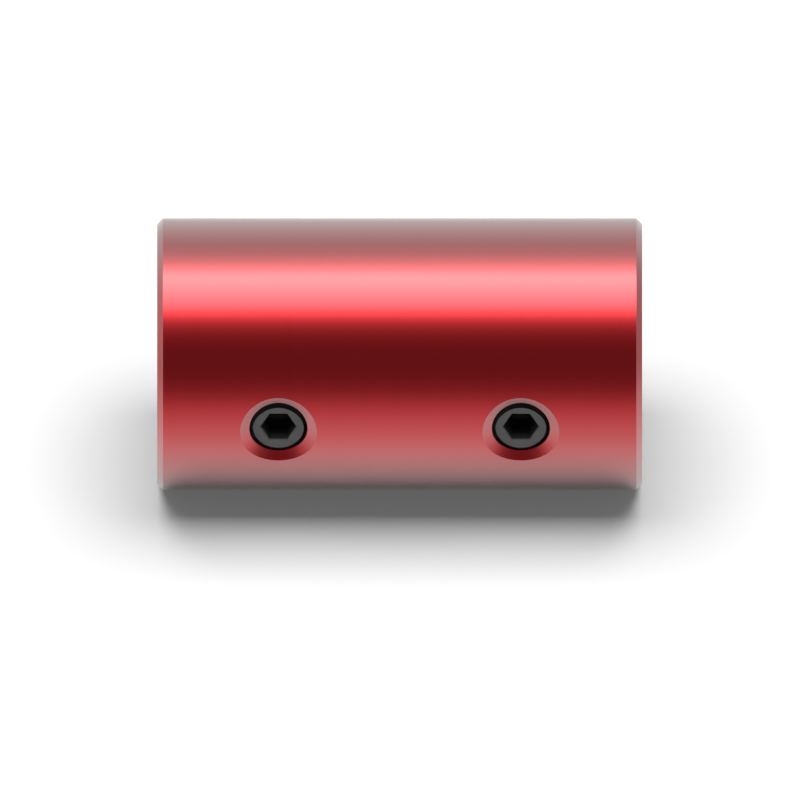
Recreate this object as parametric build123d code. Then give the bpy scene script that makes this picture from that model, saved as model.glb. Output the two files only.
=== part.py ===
from build123d import *
from math import hypot, radians, tan
import os

# Rigid shaft coupling: one turned body, clamped on two shafts by set screws.
# It stands on its end. The bore runs along Z, and the origin lies on its axis midway between the ends.
# Lengths are in millimetres and angles in degrees.

# Turned body
body_diameter = 14.0
body_length = 25.0
end_chamfer = 0.3
bore_diameter = 5.0
bore_chamfer = 0.4

# Screw holes: each row has one hole near each end, and the rows stand a quarter turn apart
hole_from_end = 6.25
row_step_angle = 90.0
mouth_chamfer_width = 0.48
mouth_chamfer_depth = 0.36

# Set screws with a hexagon socket and a cup point
thread_diameter = 2.95
thread_clearance = 0.025
screw_length = 4.0
face_chamfer_width = 0.16
face_chamfer_depth = 0.1
key_across_flats = 1.5
key_clearance = 0.04
socket_sides = 6
socket_depth = 1.8
socket_edge = 0.03
socket_floor_angle = 120.0
cup_diameter = 1.4
cup_angle = 120.0
point_angle = 90.0

# Radii that the pieces share
body_radius = body_diameter / 2
bore_radius = bore_diameter / 2
thread_radius = thread_diameter / 2
hole_radius = thread_radius + thread_clearance

# Names of the screws' places, in the order in which the loops reach them
row_names = ("front", "side")
end_names = ("lower", "upper")

# How an edge is tested for lying on a surface: at this many points, each within this distance
test_points = 4
surface_tolerance = 0.01

quarter_turn = 90.0


def cone_height(radius, full_angle):
    """Height of a cone from its base radius and the full angle at its tip."""
    return radius / tan(radians(full_angle / 2))


def turned_blank():
    """The bar turned to length, bored through, and chamfered at both ends."""
    half = body_length / 2
    profile = make_face(
        Plane.XZ
        * Polyline(
            (bore_radius + bore_chamfer, -half),
            (body_radius - end_chamfer, -half),
            (body_radius, -half + end_chamfer),
            (body_radius, half - end_chamfer),
            (body_radius - end_chamfer, half),
            (bore_radius + bore_chamfer, half),
            (bore_radius, half - bore_chamfer),
            (bore_radius, -half + bore_chamfer),
            close=True,
        )
    )
    return revolve(profile, Axis.Z)


def screw_places():
    """Each screw's name, and where its axis leaves the bore axis, with local Z pointing outwards."""
    height = body_length / 2 - hole_from_end
    for row, row_name in enumerate(row_names):
        outwards = Rot(Z=-row * row_step_angle) * Rot(X=quarter_turn)
        for side, end_name in zip((-1, 1), end_names):
            yield f"set_screw_{row_name}_{end_name}", Pos(Z=side * height) * outwards


def is_mouth(edge):
    """Whether an edge is where a screw hole breaks through the outer cylinder."""
    if edge.geom_type in (GeomType.LINE, GeomType.CIRCLE):
        return False
    points = [edge.position_at(k / test_points) for k in range(test_points)]
    return all(abs(hypot(p.X, p.Y) - body_radius) < surface_tolerance for p in points)


def coupling_body():
    """The blank with its screw holes, whose mouths are chamfered by the same amount all the way round.

    The chamfer's width is measured along the outer cylinder, and its depth down the hole.
    """
    body = turned_blank()
    hole = Cylinder(hole_radius, body_diameter, align=(Align.CENTER, Align.CENTER, Align.MIN))
    for _, place in screw_places():
        body -= place * hole
    outside = body.faces().filter_by(GeomType.CYLINDER).sort_by(SortBy.RADIUS)[-1]
    mouths = body.edges().filter_by(is_mouth)
    return chamfer(mouths, mouth_chamfer_width, mouth_chamfer_depth, reference=outside)


def screw_blank():
    """The screw without its socket, point down at Z = 0: a cupped, tapered point, then the thread's envelope."""
    cup_radius = cup_diameter / 2
    cup_depth = cone_height(cup_radius, cup_angle)
    point_height = cone_height(thread_radius, point_angle) - cone_height(cup_radius, point_angle)
    profile = make_face(
        Plane.XZ
        * Polyline(
            (0, cup_depth),
            (cup_radius, 0),
            (thread_radius, point_height),
            (thread_radius, screw_length - face_chamfer_depth),
            (thread_radius - face_chamfer_width, screw_length),
            (0, screw_length),
            close=True,
        )
    )
    return revolve(profile, Axis.Z)


def socket():
    """The hexagon socket as a solid to cut away, its mouth at Z = 0, with the drilled cone at its floor.

    Two corners of the hexagon lie along local Y, which runs along the bore once the screw is in its place.
    """
    inner_radius = key_across_flats / 2 + key_clearance
    floor_height = cone_height(inner_radius, socket_floor_angle)
    hexagon = Rot(Z=quarter_turn) * RegularPolygon(inner_radius, socket_sides, major_radius=False)
    drilled = Cone(0, inner_radius, floor_height, align=(Align.CENTER, Align.CENTER, Align.MAX))
    return extrude(hexagon, -socket_depth) + Pos(Z=-socket_depth) * drilled


def set_screw():
    """One set screw along Z, with its point at Z = 0 and its socket at the top."""
    screw = screw_blank() - Pos(Z=screw_length) * socket()
    face = screw.faces().sort_by(Axis.Z)[-1]
    return chamfer(face.inner_wires()[0].edges(), socket_edge)


def main():
    os.makedirs("parts", exist_ok=True)
    export_step(coupling_body(), "parts/coupling_body.step")
    # Each screw is driven in until its point meets the shaft that fills the bore
    screw = Pos(Z=bore_radius) * set_screw()
    for name, place in screw_places():
        export_step(place * screw, f"parts/{name}.step")


main()
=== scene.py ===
from math import cos, hypot, pi, radians, sin, sqrt, tan

import bmesh
import bpy
from mathutils import Matrix, Vector


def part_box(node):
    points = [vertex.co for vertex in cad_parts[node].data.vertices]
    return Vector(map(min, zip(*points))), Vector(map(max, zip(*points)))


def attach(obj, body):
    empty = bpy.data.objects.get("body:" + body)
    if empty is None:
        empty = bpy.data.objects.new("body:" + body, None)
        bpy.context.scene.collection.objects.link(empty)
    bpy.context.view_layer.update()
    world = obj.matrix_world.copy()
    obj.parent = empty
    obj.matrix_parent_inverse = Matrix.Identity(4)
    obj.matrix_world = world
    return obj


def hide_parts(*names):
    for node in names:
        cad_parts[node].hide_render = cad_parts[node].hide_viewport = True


# Rigid shaft coupling in red anodised aluminium, clamped by black set screws.
# It stands on its end. The photograph shows it lying, so the camera is rolled a quarter turn,
# and an upright backdrop takes the place of the floor that it lies on there.
# Lengths are in metres, and names that end in _deg are angles in degrees.

mm = 0.001
quarter_turn_deg = 90

# The photograph
photo_px = 800
photo_px_per_mm = 19.4
object_above_centre_px = 45.9
object_left_of_centre_px = 0.35
camera_elevation_deg = 35.26
camera_distance = 200 * mm

# Metric thread of the screws, and the clearance that the tapped holes leave round it
pitch = 0.5 * mm
flank_angle_deg = 30
# Five eighths of the height that the flanks would have if they met in a sharp edge
thread_depth = 0.625 * sqrt(0.75) * pitch
crest_flat = pitch / 8
root_flat = pitch / 4
flank = (pitch - crest_flat - root_flat) / 2
thread_clearance = 0.012 * mm
steps_per_turn = 72

# The ridge of a tapped hole stops short of both ends, and fades in over part of a turn
ridge_start = 0.15 * mm
ridge_end_gap = 0.2 * mm
ridge_fade_turns = 0.5
ridge_least_share = 0.02

# Turned body, as the CAD has it, and how finely it is divided here
bore_chamfer = 0.4 * mm
end_chamfer = 0.3 * mm
mouth_chamfer_width = 0.48 * mm
mouth_chamfer_depth = 0.36 * mm
body_steps = 360
mouth_steps = 144

# Set screws, as the CAD has them
face_chamfer_width = 0.16 * mm
face_chamfer_depth = 0.1 * mm
socket_sides = 6
socket_inner_radius = 0.79 * mm
socket_depth = 1.8 * mm
socket_floor_angle_deg = 120
cup_radius = 0.7 * mm
cup_angle_deg = 120
point_angle_deg = 90
hole_radius = 1.5 * mm

# The bevel round the socket, 0.03 mm wider than in the CAD, as the photograph shows it
socket_edge = 0.06 * mm

# How far cutting shapes reach past what they cut, and how near to a surface counts as on it
overcut = 0.015 * mm
margin = 0.5 * mm
rod_overrun = 1 * mm
surface_tolerance = overcut / 4

# Faces that meet at more than this angle keep a sharp edge
sharp_edge_deg = 30

# Red anodised finish: fine and broad marks from turning, grain, and paler reflections at low angles
reds = ((0.60, 0.028, 0.034, 1), (0.64, 0.031, 0.038, 1))
turning_mark = 0.06 * mm
turning_band = 0.5 * mm
grain_size = 0.03 * mm
mark_weight = 0.7
grain_weight = 0.3
anodised_roughness = (0.27, 0.29)
anodised_bump = 0.08
sheen_colour = (0.9, 0.9, 0.9, 1)
sheen_power = 1.4
sheen_most = 0.95

# Black oxide in lit and shaded copies: its clouds, and how dark and shiny each part of a screw is
cloud_size = 0.4 * mm
cloud_detail = 4.0
oxide_roughness = (0.4, 0.5)
oxide_bump = 0.2
# Painted shade and light: the thread is darkest, as shade in the ring round each face, and the socket is
# lightened against the shade inside it
oxide_lit_and_shaded_copies = (
    {"name": "black_oxide", "greys": (0.006, 0.010), "shine": 0.15},
    {"name": "black_oxide_face_lighter", "greys": (0.08, 0.10), "shine": 0.5},
    {"name": "black_oxide_socket_painted_light", "greys": (0.034, 0.04), "shine": 0.2},
)
bump_distance = 0.002 * mm
white = (1, 1, 1, 1)

# Stage. A lamp's angles are those of half its width and half its length, seen from the coupling.
# The mirrored values are what reflections see, and the backdrop adds some glow of its own.
stage_gap = 0.02 * mm
stage_half_size = 2.0
softbox_distance = 250 * mm
mirrored_lamp = {"across_deg": 18, "along_deg": 12, "radiance": 4.1}
soft_lamp = {"across_deg": 26, "along_deg": 29, "radiance": 3.75}
ambient_level = 0.08
own_glow = 0.11
card_distance = 150 * mm
mirrored_ground_level = 0.88
mirrored_ground_reach = 135 * mm
floor_shadow_reach = 12 * mm

# Brightness round the bore axis. The angles are elevations in the photograph:
# 0 is level towards the camera's side, 90 straight up, and 180 level towards the back.
front_card_levels = (
    (-5, 0.4), (1, 0.35), (8, 0.24), (16, 0.18), (45, 0.15), (58, 0.28), (69, 0.8),
)
back_card_levels = (
    (112, 1.1), (120, 0.86), (129, 0.54), (141, 0.46), (153, 0.52), (167, 0.55), (185, 0.62),
)
left_card_level = 0.62
right_card_level = 0.45


# The photograph's floor is level. This turn stands that whole setting up beside the coupling:
# what is up in the photograph becomes +X, and its left becomes +Z.
stand_up = Matrix.Rotation(radians(quarter_turn_deg), 4, "Y")


def new_object(name, mesh):
    made = bpy.data.objects.new(name, mesh)
    bpy.context.scene.collection.objects.link(made)
    return made


def mesh_from(name, bm):
    """A mesh that takes the bmesh, with its faces turned outwards."""
    bmesh.ops.recalc_face_normals(bm, faces=bm.faces)
    mesh = bpy.data.meshes.new(name)
    bm.to_mesh(mesh)
    bm.free()
    return mesh


# Shapes that the body and the screws are cut from

def circle(bm, radius, height, steps):
    """New vertices round Z."""
    turns = [2 * pi * k / steps for k in range(steps)]
    return [bm.verts.new((radius * cos(a), radius * sin(a), height)) for a in turns]


def revolved(name, outline, steps):
    """A closed solid of revolution about Z.

    The (radius, height) points of its outline start and end on the axis.
    """
    bm = bmesh.new()
    ends = [bm.verts.new((0, 0, outline[k][1])) for k in (0, -1)]
    rings = [circle(bm, radius, height, steps) for radius, height in outline[1:-1]]
    for k in range(steps):
        after = (k + 1) % steps
        bm.faces.new((ends[0], rings[0][k], rings[0][after]))
        bm.faces.new((ends[1], rings[-1][after], rings[-1][k]))
        for lower, upper in zip(rings, rings[1:]):
            bm.faces.new((lower[k], lower[after], upper[after], upper[k]))
    return new_object(name, mesh_from(name, bm))


def threaded_rod(name, crest_radius, start, turns):
    """A closed rod along Z with a right-hand thread. Each row of points follows the helix once round."""
    root_radius = crest_radius - thread_depth
    profile = (
        (root_flat / 2, root_radius),
        (root_flat / 2 + flank, crest_radius),
        (root_flat / 2 + flank + crest_flat, crest_radius),
        (root_flat / 2 + flank + crest_flat + flank, root_radius),
    )
    bm = bmesh.new()
    rows = []
    for turn in range(turns):
        for offset, radius in profile:
            row = []
            for k in range(steps_per_turn):
                share = k / steps_per_turn
                angle = 2 * pi * share
                height = start + (turn + share) * pitch + offset
                row.append(bm.verts.new((radius * cos(angle), radius * sin(angle), height)))
            rows.append(row)
    # After a whole turn, each row runs on into the row one pitch above it
    closed = [row + [above[0]] for row, above in zip(rows, rows[len(profile):])]
    for lower, upper in zip(closed, closed[1:]):
        for k in range(steps_per_turn):
            bm.faces.new((lower[k], lower[k + 1], upper[k + 1], upper[k]))
    step_up = [row[0] for row in rows]
    last = len(closed) - 1
    bottom = closed[0] + step_up[1:len(profile)][::-1]
    top = closed[last] + step_up[last + 1:last + len(profile)][::-1]
    for rim, height in ((bottom, start), (top, start + turns * pitch)):
        tip = bm.verts.new((0, 0, height))
        for a, b in zip(rim, rim[1:] + rim[:1]):
            bm.faces.new((a, b, tip))
    return new_object(name, mesh_from(name, bm))


def turned_ring(name, section, steps):
    """A closed ring of revolution about Z from the (radius, height) points round its section."""
    bm = bmesh.new()
    rings = [circle(bm, radius, height, steps) for radius, height in section]
    for lower, upper in zip(rings, rings[1:] + rings[:1]):
        for k in range(steps):
            after = (k + 1) % steps
            bm.faces.new((lower[k], lower[after], upper[after], upper[k]))
    return new_object(name, mesh_from(name, bm))


def hole_tool(name, body_radius):
    """A screw hole and its chamfered mouth as a closed shape. Z is its axis, and Y runs along the bore.

    All the way round, its chamfer has the same width along the body's surface, and the same depth down
    the hole.
    """
    bm = bmesh.new()
    rings = ([], [], [])
    for k in range(mouth_steps):
        angle = 2 * pi * k / mouth_steps
        outwards = Vector((cos(angle), sin(angle), 0))
        start = outwards * hole_radius
        edge = start + Vector((0, 0, sqrt(body_radius ** 2 - start.x ** 2)))
        normal = Vector((edge.x, 0, edge.z)) / body_radius
        along = (outwards - normal * outwards.dot(normal)).normalized()
        rim = edge + along * mouth_chamfer_width
        share = body_radius / hypot(rim.x, rim.z)
        rim = Vector((rim.x * share, rim.y, rim.z * share))
        inner = edge - Vector((0, 0, mouth_chamfer_depth))
        # The chamfer goes on to twice its width, so that it cuts right through the surface
        beyond = inner + 2 * (rim - inner)
        for ring, point in zip(rings, (start, inner, beyond)):
            ring.append(bm.verts.new(point))
    lid = bm.verts.new((0, 0, body_radius + margin))
    for k in range(mouth_steps):
        after = (k + 1) % mouth_steps
        for lower, upper in zip(rings, rings[1:]):
            bm.faces.new((lower[k], lower[after], upper[after], upper[k]))
        bm.faces.new((rings[-1][k], rings[-1][after], lid))
    bm.faces.new(rings[0])
    bmesh.ops.triangulate(bm, faces=bm.faces)
    return new_object(name, mesh_from(name, bm))


def hexagon_plug(name, top):
    """The socket's hexagon as a closed shape, flared at its mouth. Two of its corners lie along Y."""
    levels = (
        (top - socket_depth, socket_inner_radius),
        (top - socket_edge, socket_inner_radius),
        (top + socket_edge, socket_inner_radius + socket_edge + socket_edge),
    )
    half_side_deg = 180 / socket_sides
    bm = bmesh.new()
    rings = []
    for height, inner_radius in levels:
        radius = inner_radius / cos(radians(half_side_deg))
        angles = [radians(half_side_deg + 2 * half_side_deg * k) for k in range(socket_sides)]
        rings.append([bm.verts.new((radius * cos(a), radius * sin(a), height)) for a in angles])
    for lower, upper in zip(rings, rings[1:]):
        for k in range(socket_sides):
            after = (k + 1) % socket_sides
            bm.faces.new((lower[k], lower[after], upper[after], upper[k]))
    bm.faces.new(rings[0])
    bm.faces.new(rings[-1])
    return new_object(name, mesh_from(name, bm))


def cut(shape, tool, operation):
    """Applies one boolean operation to the shape, and deletes the tool."""
    modifier = shape.modifiers.new(operation, "BOOLEAN")
    modifier.operation = operation
    modifier.solver = "EXACT"
    modifier.object = tool
    bpy.context.view_layer.update()
    graph = bpy.context.evaluated_depsgraph_get()
    result = bpy.data.meshes.new_from_object(shape.evaluated_get(graph))
    shape.modifiers.clear()
    shape.data = result
    bpy.data.objects.remove(tool)


def shade(mesh):
    """Smooth shading, with an edge kept sharp where its faces meet at a large enough angle."""
    mesh.polygons.foreach_set("use_smooth", [True] * len(mesh.polygons))
    mesh.set_sharp_from_angle(angle=radians(sharp_edge_deg))


# Turned body

def body_mesh(low, high, bore_radius, thread):
    """The turned body with its bore and its chamfered screw holes, each with its thread."""
    radius = high.x
    section = (
        (bore_radius + bore_chamfer, low.z),
        (radius - end_chamfer, low.z),
        (radius, low.z + end_chamfer),
        (radius, high.z - end_chamfer),
        (radius - end_chamfer, high.z),
        (bore_radius + bore_chamfer, high.z),
        (bore_radius, high.z - bore_chamfer),
        (bore_radius, low.z + bore_chamfer),
    )
    body = turned_ring("body", section, body_steps)
    for _, place in screw_places():
        hole = hole_tool("hole", radius)
        hole.matrix_world = place
        cut(body, hole, "DIFFERENCE")
        ridge = new_object("ridge", thread.copy())
        ridge.matrix_world = place @ Matrix.Translation((0, 0, bore_radius))
        cut(body, ridge, "UNION")
    mesh = body.data
    bpy.data.objects.remove(body)
    shade(mesh)
    smooth_cylinder(mesh, radius)
    return mesh


def smooth_cylinder(mesh, radius):
    """Gives each corner of the outer cylinder's faces the cylinder's own normal."""
    normals = [corner.vector.copy() for corner in mesh.corner_normals]
    for polygon in mesh.polygons:
        corners = [(i, mesh.vertices[mesh.loops[i].vertex_index].co) for i in polygon.loop_indices]
        if all(hypot(p.x, p.y) > radius - surface_tolerance for _, p in corners):
            for i, p in corners:
                normals[i] = Vector((p.x, p.y, 0)).normalized()
    mesh.normals_split_custom_set(normals)


# Set screws

def cone_height(radius, full_angle_deg):
    """Height of a cone from its base radius and the full angle at its tip."""
    return radius / tan(radians(full_angle_deg / 2))


def screw_mesh(length, crest_radius):
    """One set screw along Z, its point at Z = 0, with its thread, cup point, bevelled face and socket."""
    wide = crest_radius + overcut
    face_radius = crest_radius - face_chamfer_width
    slope = face_chamfer_depth / face_chamfer_width
    blank = revolved(
        "screw_blank",
        (
            (0, cone_height(cup_radius, cup_angle_deg)),
            (cup_radius, 0),
            (wide, cone_height(wide - cup_radius, point_angle_deg)),
            (wide, length - (wide - face_radius) * slope),
            (face_radius, length),
            (0, length),
        ),
        steps_per_turn,
    )
    turns = round((length + 2 * rod_overrun) / pitch)
    cut(blank, threaded_rod("rod", crest_radius, -rod_overrun, turns), "INTERSECT")
    cut(blank, hexagon_plug("hexagon", length), "DIFFERENCE")
    floor = length - socket_depth
    drilled = (
        (0, floor - cone_height(socket_inner_radius, socket_floor_angle_deg)),
        (socket_inner_radius, floor),
        (0, floor + overcut),
    )
    cut(blank, revolved("drill", drilled, steps_per_turn), "DIFFERENCE")
    mesh = blank.data
    bpy.data.objects.remove(blank)
    shade(mesh)
    return mesh


def ridge_mesh(first, last, crest_radius):
    """The thread of a tapped hole: a ridge that winds along its wall and runs out at both ends."""
    root_radius = crest_radius - thread_depth
    minor_radius = hole_radius - thread_depth + 2 * thread_clearance
    wall_radius = hole_radius + overcut

    def half_width(radius):
        lean = (radius - root_radius) * tan(radians(flank_angle_deg))
        return root_flat / 2 + lean - thread_clearance

    turns = (last - first) / pitch
    steps = round(turns * steps_per_turn)
    bm = bmesh.new()
    rings = []
    for k in range(steps + 1):
        turn = first / pitch + turns * k / steps
        height = turn * pitch
        from_end = min(k, steps - k) / steps_per_turn
        share = min(1, ridge_least_share + from_end / ridge_fade_turns)
        inner = wall_radius - (wall_radius - minor_radius) * share
        section = (
            (wall_radius, -half_width(wall_radius) * share),
            (inner, -half_width(inner) * share),
            (inner, half_width(inner) * share),
            (wall_radius, half_width(wall_radius) * share),
        )
        angle = 2 * pi * turn
        points = [(r * cos(angle), r * sin(angle), height + h) for r, h in section]
        rings.append([bm.verts.new(point) for point in points])
    for before, after in zip(rings, rings[1:]):
        for k in range(len(before)):
            beside = (k + 1) % len(before)
            bm.faces.new((before[k], before[beside], after[beside], after[k]))
    bm.faces.new(rings[0])
    bm.faces.new(rings[-1])
    mesh = mesh_from("ridge", bm)
    shade(mesh)
    return mesh


# Materials

class Nodes:
    """Adds nodes to one node tree. A value given as a socket is linked, and any other is set."""

    def __init__(self, tree):
        self.tree = tree
        tree.nodes.clear()

    def add(self, kind, inputs=None, **settings):
        """A new node. Its settings come first, because some of them change its inputs."""
        node = self.tree.nodes.new(kind)
        for name, value in settings.items():
            setattr(node, name, value)
        for key, value in (inputs or {}).items():
            if isinstance(value, bpy.types.NodeSocket):
                self.tree.links.new(value, node.inputs[key])
            else:
                node.inputs[key].default_value = value
        return node

    def math(self, operation, a, b=0.0):
        return self.add("ShaderNodeMath", {0: a, 1: b}, operation=operation).outputs[0]

    def spread(self, value, low, high):
        """The value from 0 to 1 as a value from low to high."""
        node = self.add("ShaderNodeMapRange", {"Value": value, "To Min": low, "To Max": high})
        return node.outputs["Result"]

    def noise(self, vector, size, detail=2.0):
        """Noise whose features are about the given size."""
        inputs = {"Vector": vector, "Scale": 1 / size, "Detail": detail}
        return self.add("ShaderNodeTexNoise", inputs).outputs["Fac"]

    def bump(self, height, strength):
        """The normal of a surface with this relief."""
        inputs = {"Height": height, "Strength": strength, "Distance": bump_distance}
        return self.add("ShaderNodeBump", inputs).outputs["Normal"]


def new_material(name):
    made = bpy.data.materials.new(name)
    made.use_nodes = True
    return made, Nodes(made.node_tree)


def turned_place(nodes):
    """The place, and a vector that is the same all the way round the bore: (radius, height, 0)."""
    place = nodes.add("ShaderNodeTexCoord").outputs["Object"]
    axes = nodes.add("ShaderNodeSeparateXYZ", {0: place})
    flat = nodes.add("ShaderNodeCombineXYZ", {"X": axes.outputs["X"], "Y": axes.outputs["Y"]})
    radius = nodes.add("ShaderNodeVectorMath", {0: flat.outputs[0]}, operation="LENGTH")
    turned = nodes.add("ShaderNodeCombineXYZ", {"X": radius.outputs["Value"], "Y": axes.outputs["Z"]})
    return place, turned.outputs[0]


def anodised_aluminium():
    """Satin red anodised metal with fine marks from turning, paler where it is seen at a low angle."""
    material, nodes = new_material("red_anodised_aluminium")
    place, turned = turned_place(nodes)
    fine = nodes.noise(turned, turning_mark)
    broad = nodes.noise(turned, turning_band)
    grain = nodes.noise(place, grain_size)
    inputs = {"Factor": broad, "A": reds[0], "B": reds[1]}
    colour = nodes.add("ShaderNodeMix", inputs, data_type="RGBA").outputs["Result"]
    roughness = nodes.spread(fine, *anodised_roughness)
    marks = nodes.math("MULTIPLY", fine, mark_weight)
    height = nodes.math("ADD", marks, nodes.math("MULTIPLY", grain, grain_weight))
    normal = nodes.bump(height, anodised_bump)
    metal, sheen = (
        nodes.add("ShaderNodeBsdfPrincipled", {
            "Base Color": base, "Metallic": 1.0, "Roughness": roughness, "Normal": normal,
        })
        for base in (colour, sheen_colour)
    )
    facing = nodes.add("ShaderNodeLayerWeight", {"Blend": 0.5}).outputs["Facing"]
    share = nodes.math("MULTIPLY", nodes.math("POWER", facing, sheen_power), sheen_most)
    mixed = nodes.add("ShaderNodeMixShader", {0: share, 1: metal.outputs[0], 2: sheen.outputs[0]})
    nodes.add("ShaderNodeOutputMaterial", {"Surface": mixed.outputs[0]})
    return material


def black_oxide(name, greys, shine):
    """Steel under black oxide, slightly clouded, with a fine grain."""
    material, nodes = new_material(name)
    place = nodes.add("ShaderNodeTexCoord").outputs["Object"]
    cloud = nodes.noise(place, cloud_size, cloud_detail)
    grain = nodes.noise(place, grain_size)
    value = nodes.spread(cloud, *greys)
    colour = nodes.add("ShaderNodeCombineColor", {0: value, 1: value, 2: value}).outputs[0]
    steel = nodes.add("ShaderNodeBsdfPrincipled", {
        "Base Color": colour, "Metallic": 0.0, "Roughness": nodes.spread(cloud, *oxide_roughness),
        "Normal": nodes.bump(grain, oxide_bump), "Specular IOR Level": shine,
    })
    nodes.add("ShaderNodeOutputMaterial", {"Surface": steel.outputs[0]})
    return material


# Stage

def plane(name, half_size):
    bm = bmesh.new()
    corners = ((-1, -1), (1, -1), (1, 1), (-1, 1))
    bm.faces.new([bm.verts.new((x * half_size, y * half_size, 0)) for x, y in corners])
    return new_object(name, mesh_from(name, bm))


def white_ground(name):
    """White that takes shadows, and in reflections fades with distance.

    It shows from its front alone, so that no view is cut off by its back.
    """
    material, nodes = new_material(name)
    geometry = nodes.add("ShaderNodeNewGeometry")
    distance = nodes.add("ShaderNodeVectorMath", {0: geometry.outputs["Position"]}, operation="LENGTH")
    fading = nodes.math("ADD", 1.0, nodes.math("DIVIDE", distance.outputs["Value"], mirrored_ground_reach))
    mirrored = nodes.math("DIVIDE", mirrored_ground_level, fading)
    in_mirror = nodes.add("ShaderNodeLightPath").outputs["Is Glossy Ray"]
    loss = nodes.math("MULTIPLY", in_mirror, nodes.math("SUBTRACT", mirrored, 1.0))
    level = nodes.math("ADD", 1.0, loss)
    colour = nodes.add("ShaderNodeCombineColor", {0: level, 1: level, 2: level}).outputs[0]
    diffuse = nodes.add("ShaderNodeBsdfDiffuse", {"Color": colour}).outputs[0]
    glow = nodes.add("ShaderNodeEmission", {"Color": colour, "Strength": own_glow}).outputs[0]
    front = nodes.add("ShaderNodeAddShader", {0: diffuse, 1: glow}).outputs[0]
    clear = nodes.add("ShaderNodeBsdfTransparent").outputs[0]
    shown = nodes.add("ShaderNodeMixShader", {0: geometry.outputs["Backfacing"], 1: front, 2: clear})
    nodes.add("ShaderNodeOutputMaterial", {"Surface": shown.outputs[0]})
    return material


def white_floor(name):
    """Glowing white with a painted contact shadow: ambient occlusion darkens it only close to what stands
    on it.
    """
    material, nodes = new_material(name)
    openness = nodes.add("ShaderNodeAmbientOcclusion", {"Distance": floor_shadow_reach}).outputs["AO"]
    glow = nodes.add("ShaderNodeEmission", {"Color": white, "Strength": openness}).outputs[0]
    nodes.add("ShaderNodeOutputMaterial", {"Surface": glow})
    return material


def only_seen_by(thing, rays):
    """Hides the thing from every other kind of ray."""
    for ray in ("camera", "diffuse", "glossy", "transmission", "shadow", "volume_scatter"):
        setattr(thing, f"visible_{ray}", ray in rays)


def ground(name, matrix, material, rays):
    """A large plane under or beside the coupling."""
    made = plane(name, stage_half_size)
    made.matrix_world = matrix
    made.data.materials.append(material)
    only_seen_by(made, rays)


def glowing_card(name, rows):
    """A studio card that only reflections see. Each row has its two ends' places and its brightness."""
    bm = bmesh.new()
    layer = bm.verts.layers.float.new("level")
    edges = []
    for ends, level in rows:
        edges.append([bm.verts.new(end) for end in ends])
        for vertex in edges[-1]:
            vertex[layer] = level
    for before, after in zip(edges, edges[1:]):
        bm.faces.new((before[0], before[1], after[1], after[0]))
    made = new_object(name, mesh_from(name, bm))
    made.matrix_world = stand_up
    material, nodes = new_material(name)
    level = nodes.add("ShaderNodeAttribute", attribute_name="level").outputs["Fac"]
    glow = nodes.add("ShaderNodeEmission", {"Color": white, "Strength": level}).outputs[0]
    nodes.add("ShaderNodeOutputMaterial", {"Surface": glow})
    material.cycles.emission_sampling = "NONE"
    made.data.materials.append(material)
    only_seen_by(made, ("glossy",))


def curved_card(name, levels):
    """A card that curves round the coupling, with its brightness at each elevation."""
    rows = []
    for elevation, level in levels:
        place = Vector((0, -cos(radians(elevation)), sin(radians(elevation)))) * card_distance
        length = Vector((card_distance, 0, 0))
        rows.append(((place - length, place + length), level))
    glowing_card(name, rows)


def end_card(name, side, level):
    """A flat card that faces one end of the coupling, and closes the curved cards there."""
    rows = []
    for height in (-1, 1):
        ends = [Vector((side, width, height)) * card_distance for width in (-1, 1)]
        rows.append((ends, level))
    glowing_card(name, rows)


def softbox(name, rays, across_deg, along_deg, radiance):
    """The softbox above the coupling in the photograph, seen by some rays alone.

    The coupling sees half of its width and half of its length under the angles given.
    """
    lamp = bpy.data.lights.new(name, "AREA")
    lamp.shape = "RECTANGLE"
    lamp.size = 2 * softbox_distance * tan(radians(along_deg))
    lamp.size_y = 2 * softbox_distance * tan(radians(across_deg))
    lamp.energy = radiance * pi * lamp.size * lamp.size_y
    made = bpy.data.objects.new(name, lamp)
    bpy.context.scene.collection.objects.link(made)
    made.matrix_world = stand_up @ Matrix.Translation((0, 0, softbox_distance))
    only_seen_by(made, rays)


def surroundings(ambient):
    """A white room. Diffuse surfaces take a softer light from it, which the lamp adds to."""
    world = bpy.data.worlds.new("room")
    world.use_nodes = True
    bpy.context.scene.world = world
    nodes = Nodes(world.node_tree)
    path = nodes.add("ShaderNodeLightPath")
    seen = nodes.math("MAXIMUM", path.outputs["Is Camera Ray"], path.outputs["Is Glossy Ray"])
    seen = nodes.math("MAXIMUM", seen, path.outputs["Is Transmission Ray"])
    bright = nodes.add("ShaderNodeBackground", {"Color": white, "Strength": 1.0}).outputs[0]
    soft = nodes.add("ShaderNodeBackground", {"Color": white, "Strength": ambient}).outputs[0]
    room = nodes.add("ShaderNodeMixShader", {0: seen, 1: soft, 2: bright}).outputs[0]
    nodes.add("ShaderNodeOutputWorld", {"Surface": room})
    world.cycles.sampling_method = "NONE"


def camera():
    """The photograph's view: orthographic, from the front and above, and turned with the setting."""
    lens = bpy.data.cameras.new("camera")
    lens.type = "ORTHO"
    lens.ortho_scale = photo_px / photo_px_per_mm * mm
    made = bpy.data.objects.new("camera", lens)
    bpy.context.scene.collection.objects.link(made)
    right = object_left_of_centre_px / photo_px_per_mm * mm
    down = object_above_centre_px / photo_px_per_mm * mm
    tilt = Matrix.Rotation(radians(quarter_turn_deg - camera_elevation_deg), 4, "X")
    made.matrix_world = stand_up @ tilt @ Matrix.Translation((right, -down, camera_distance))
    bpy.context.scene.camera = made


# The coupling

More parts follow.
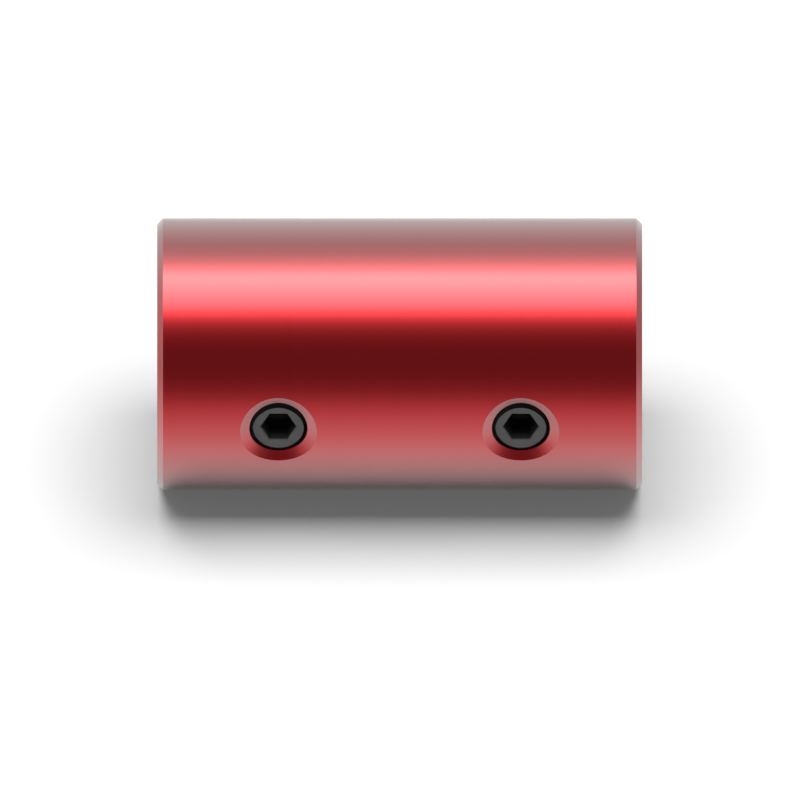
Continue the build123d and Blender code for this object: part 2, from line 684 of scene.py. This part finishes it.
def screw_places():
    """Each screw's name, and where its axis leaves the bore axis. Z points outwards, Y along the bore."""
    facing_front = Matrix.Rotation(radians(quarter_turn_deg), 4, "X")
    for row, row_name in enumerate(("front", "side")):
        outwards = Matrix.Rotation(radians(-quarter_turn_deg * row), 4, "Z") @ facing_front
        for end_name in ("lower", "upper"):
            low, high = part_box(f"set_screw_{row_name}_{end_name}")
            height = (low.z + high.z) / 2
            yield f"{row_name}_{end_name}", Matrix.Translation((0, 0, height)) @ outwards


def dress_body(bore_radius, thread, metal):
    """The body again, with finer faces than the CAD has and with the threads in its screw holes."""
    low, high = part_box("coupling_body")
    made = new_object("tapped_body", body_mesh(low, high, bore_radius, thread))
    made.data.materials.append(metal)
    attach(made, "coupling")
    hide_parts("coupling_body")


def dress_screws(bore_radius, screw, length, lit_and_shaded_oxides):
    """Each screw again, with its thread. The lit and shaded copies of the oxide go on the thread, the face
    and the socket.
    """
    for oxide_shading_copy in lit_and_shaded_oxides:
        screw.materials.append(oxide_shading_copy)
    socket_end = length - socket_depth - cone_height(socket_inner_radius, socket_floor_angle_deg)
    # Painted shade on the thread and chamfer, a lighter copy on the face, and painted light on the socket
    # walls
    for polygon in screw.polygons:
        x, y, z = polygon.center
        on_face = z > length - overcut
        in_socket = hypot(x, y) < socket_inner_radius + socket_edge and z > socket_end
        polygon.material_index = 1 if on_face else 2 if in_socket else 0
    for name, place in screw_places():
        made = new_object(f"socket_screw_{name}", screw.copy())
        made.matrix_world = place @ Matrix.Translation((0, 0, bore_radius))
        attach(made, f"{name}_screw")
        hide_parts(f"set_screw_{name}")


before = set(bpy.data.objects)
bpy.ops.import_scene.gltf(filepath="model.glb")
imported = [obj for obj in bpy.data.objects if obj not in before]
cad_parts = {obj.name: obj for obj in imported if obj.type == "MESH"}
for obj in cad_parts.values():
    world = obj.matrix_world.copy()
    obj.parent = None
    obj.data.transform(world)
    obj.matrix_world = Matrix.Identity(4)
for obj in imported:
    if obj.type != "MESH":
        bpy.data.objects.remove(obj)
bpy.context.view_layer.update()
camera()
surroundings(ambient_level)
softbox("mirrored_softbox", ("glossy",), **mirrored_lamp)
softbox("softbox", ("diffuse", "transmission"), **soft_lamp)
body_low, body_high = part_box("coupling_body")
upright = Matrix.Translation((body_low.x - stage_gap, 0, 0)) @ stand_up
ground("backdrop", upright, white_ground("backdrop"), ("camera", "diffuse", "glossy"))
ground("floor", Matrix.Translation((0, 0, body_low.z - stage_gap)), white_floor("floor"), ("camera",))
curved_card("front_card", front_card_levels)
curved_card("back_card", back_card_levels)
end_card("left_card", -1, left_card_level)
end_card("right_card", 1, right_card_level)

screw_low, screw_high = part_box("set_screw_front_lower")
screw_length = screw_high.y - screw_low.y
crest_radius = (screw_high.z - screw_low.z) / 2
bore_radius = -screw_high.y
thread = ridge_mesh(ridge_start, screw_length - ridge_end_gap, crest_radius)
dress_body(bore_radius, thread, anodised_aluminium())
screw = screw_mesh(screw_length, crest_radius)
dress_screws(bore_radius, screw, screw_length, [black_oxide(**oxide_shading_copy) for oxide_shading_copy in oxide_lit_and_shaded_copies])

# The photograph shows no light that the metal throws on its surroundings
bpy.context.scene.cycles.caustics_reflective = False
bpy.context.scene.view_settings.view_transform = "Standard"
